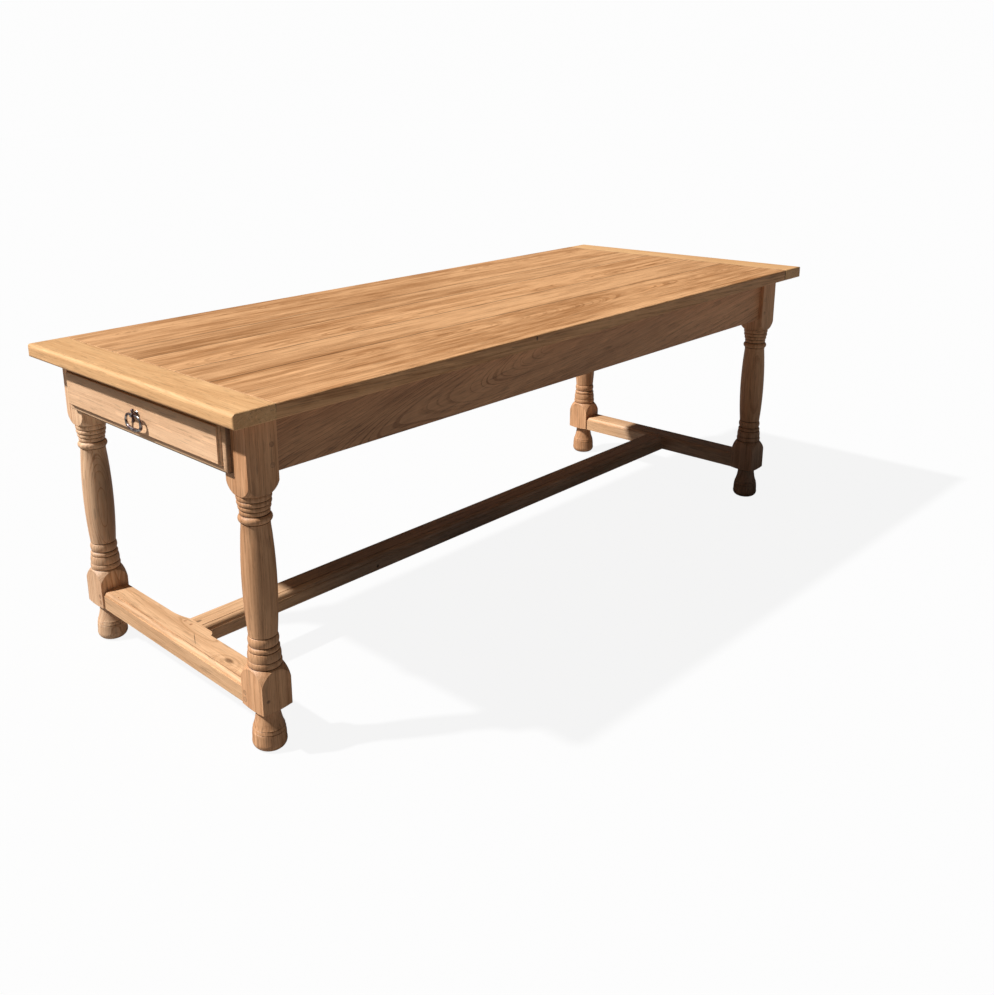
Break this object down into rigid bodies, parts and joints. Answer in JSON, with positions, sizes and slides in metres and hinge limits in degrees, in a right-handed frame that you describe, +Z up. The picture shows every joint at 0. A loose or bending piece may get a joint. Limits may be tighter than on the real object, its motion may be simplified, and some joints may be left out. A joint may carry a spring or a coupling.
{
  "type": "farmhouse table",
  "caption": "Long oak farmhouse table with a breadboard top, deep aprons, turned legs joined by an H stretcher, and a lipped drawer with a ring pull in one end.",
  "frame": {"origin": "on the floor under the middle of the table top", "axes": "+X along the table away from the drawer end, +Y across the table to the left of a person who stands at the drawer end and faces the table, +Z up"},
  "size_m": [2.134, 0.84, 0.76],
  "materials": {
    "oak_top": "stripped and waxed oak, satin",
    "oak_breadboard": "stripped and waxed oak, satin",
    "oak_frame": "stripped and waxed oak, satin",
    "oak_peg": "end grain of oak pegs, satin",
    "oak_drawer_front": "stripped and waxed oak, satin",
    "oak_inside": "bare planed oak, matt",
    "pull_iron": "dark worn iron",
    "screw_steel": "dull steel"
  },
  "bodies": {
    "table_frame": {"top_board_1": "oak_top", "top_board_2": "oak_top", "top_board_3": "oak_top", "top_board_4": "oak_top", "top_board_5": "oak_top", "breadboard_drawer_end": "oak_breadboard", "breadboard_far_end": "oak_breadboard", "leg_drawer_left": "oak_frame", "leg_drawer_right": "oak_frame", "leg_far_left": "oak_frame", "leg_far_right": "oak_frame", "side_apron_left": "oak_frame", "side_apron_right": "oak_frame", "far_apron": "oak_frame", "stretcher_drawer_end": "oak_frame", "stretcher_far_end": "oak_frame", "stretcher_long": "oak_frame", "apron_pegs": "oak_peg", "stretcher_pegs": "oak_peg", "drawer_rail": "oak_inside", "drawer_runner_left": "oak_inside", "drawer_runner_right": "oak_inside", "top_buttons": "oak_inside", "button_screws": "screw_steel", "runner_nails": "screw_steel"},
    "drawer": {"drawer_front": "oak_drawer_front", "drawer_side_left": "oak_inside", "drawer_side_right": "oak_inside", "drawer_back": "oak_inside", "drawer_bottom": "oak_inside", "drawer_nails": "screw_steel", "pull_plate": "pull_iron", "pull_post": "pull_iron", "pull_nut": "pull_iron"},
    "pull_ring": {"pull_ring": "pull_iron"}
  },
  "joints": [
    {"name": "drawer_slide", "type": "slide", "parent": "table_frame", "child": "drawer", "axis": [-1, 0, 0], "range_m": [0, 0.34]},
    {"name": "pull_ring_swing", "type": "hinge", "parent": "drawer", "child": "pull_ring", "pos_m": [-1.0428, -0.01, 0.668], "axis": [0, 1, 0], "range_deg": [-10, 180]}
  ]
}
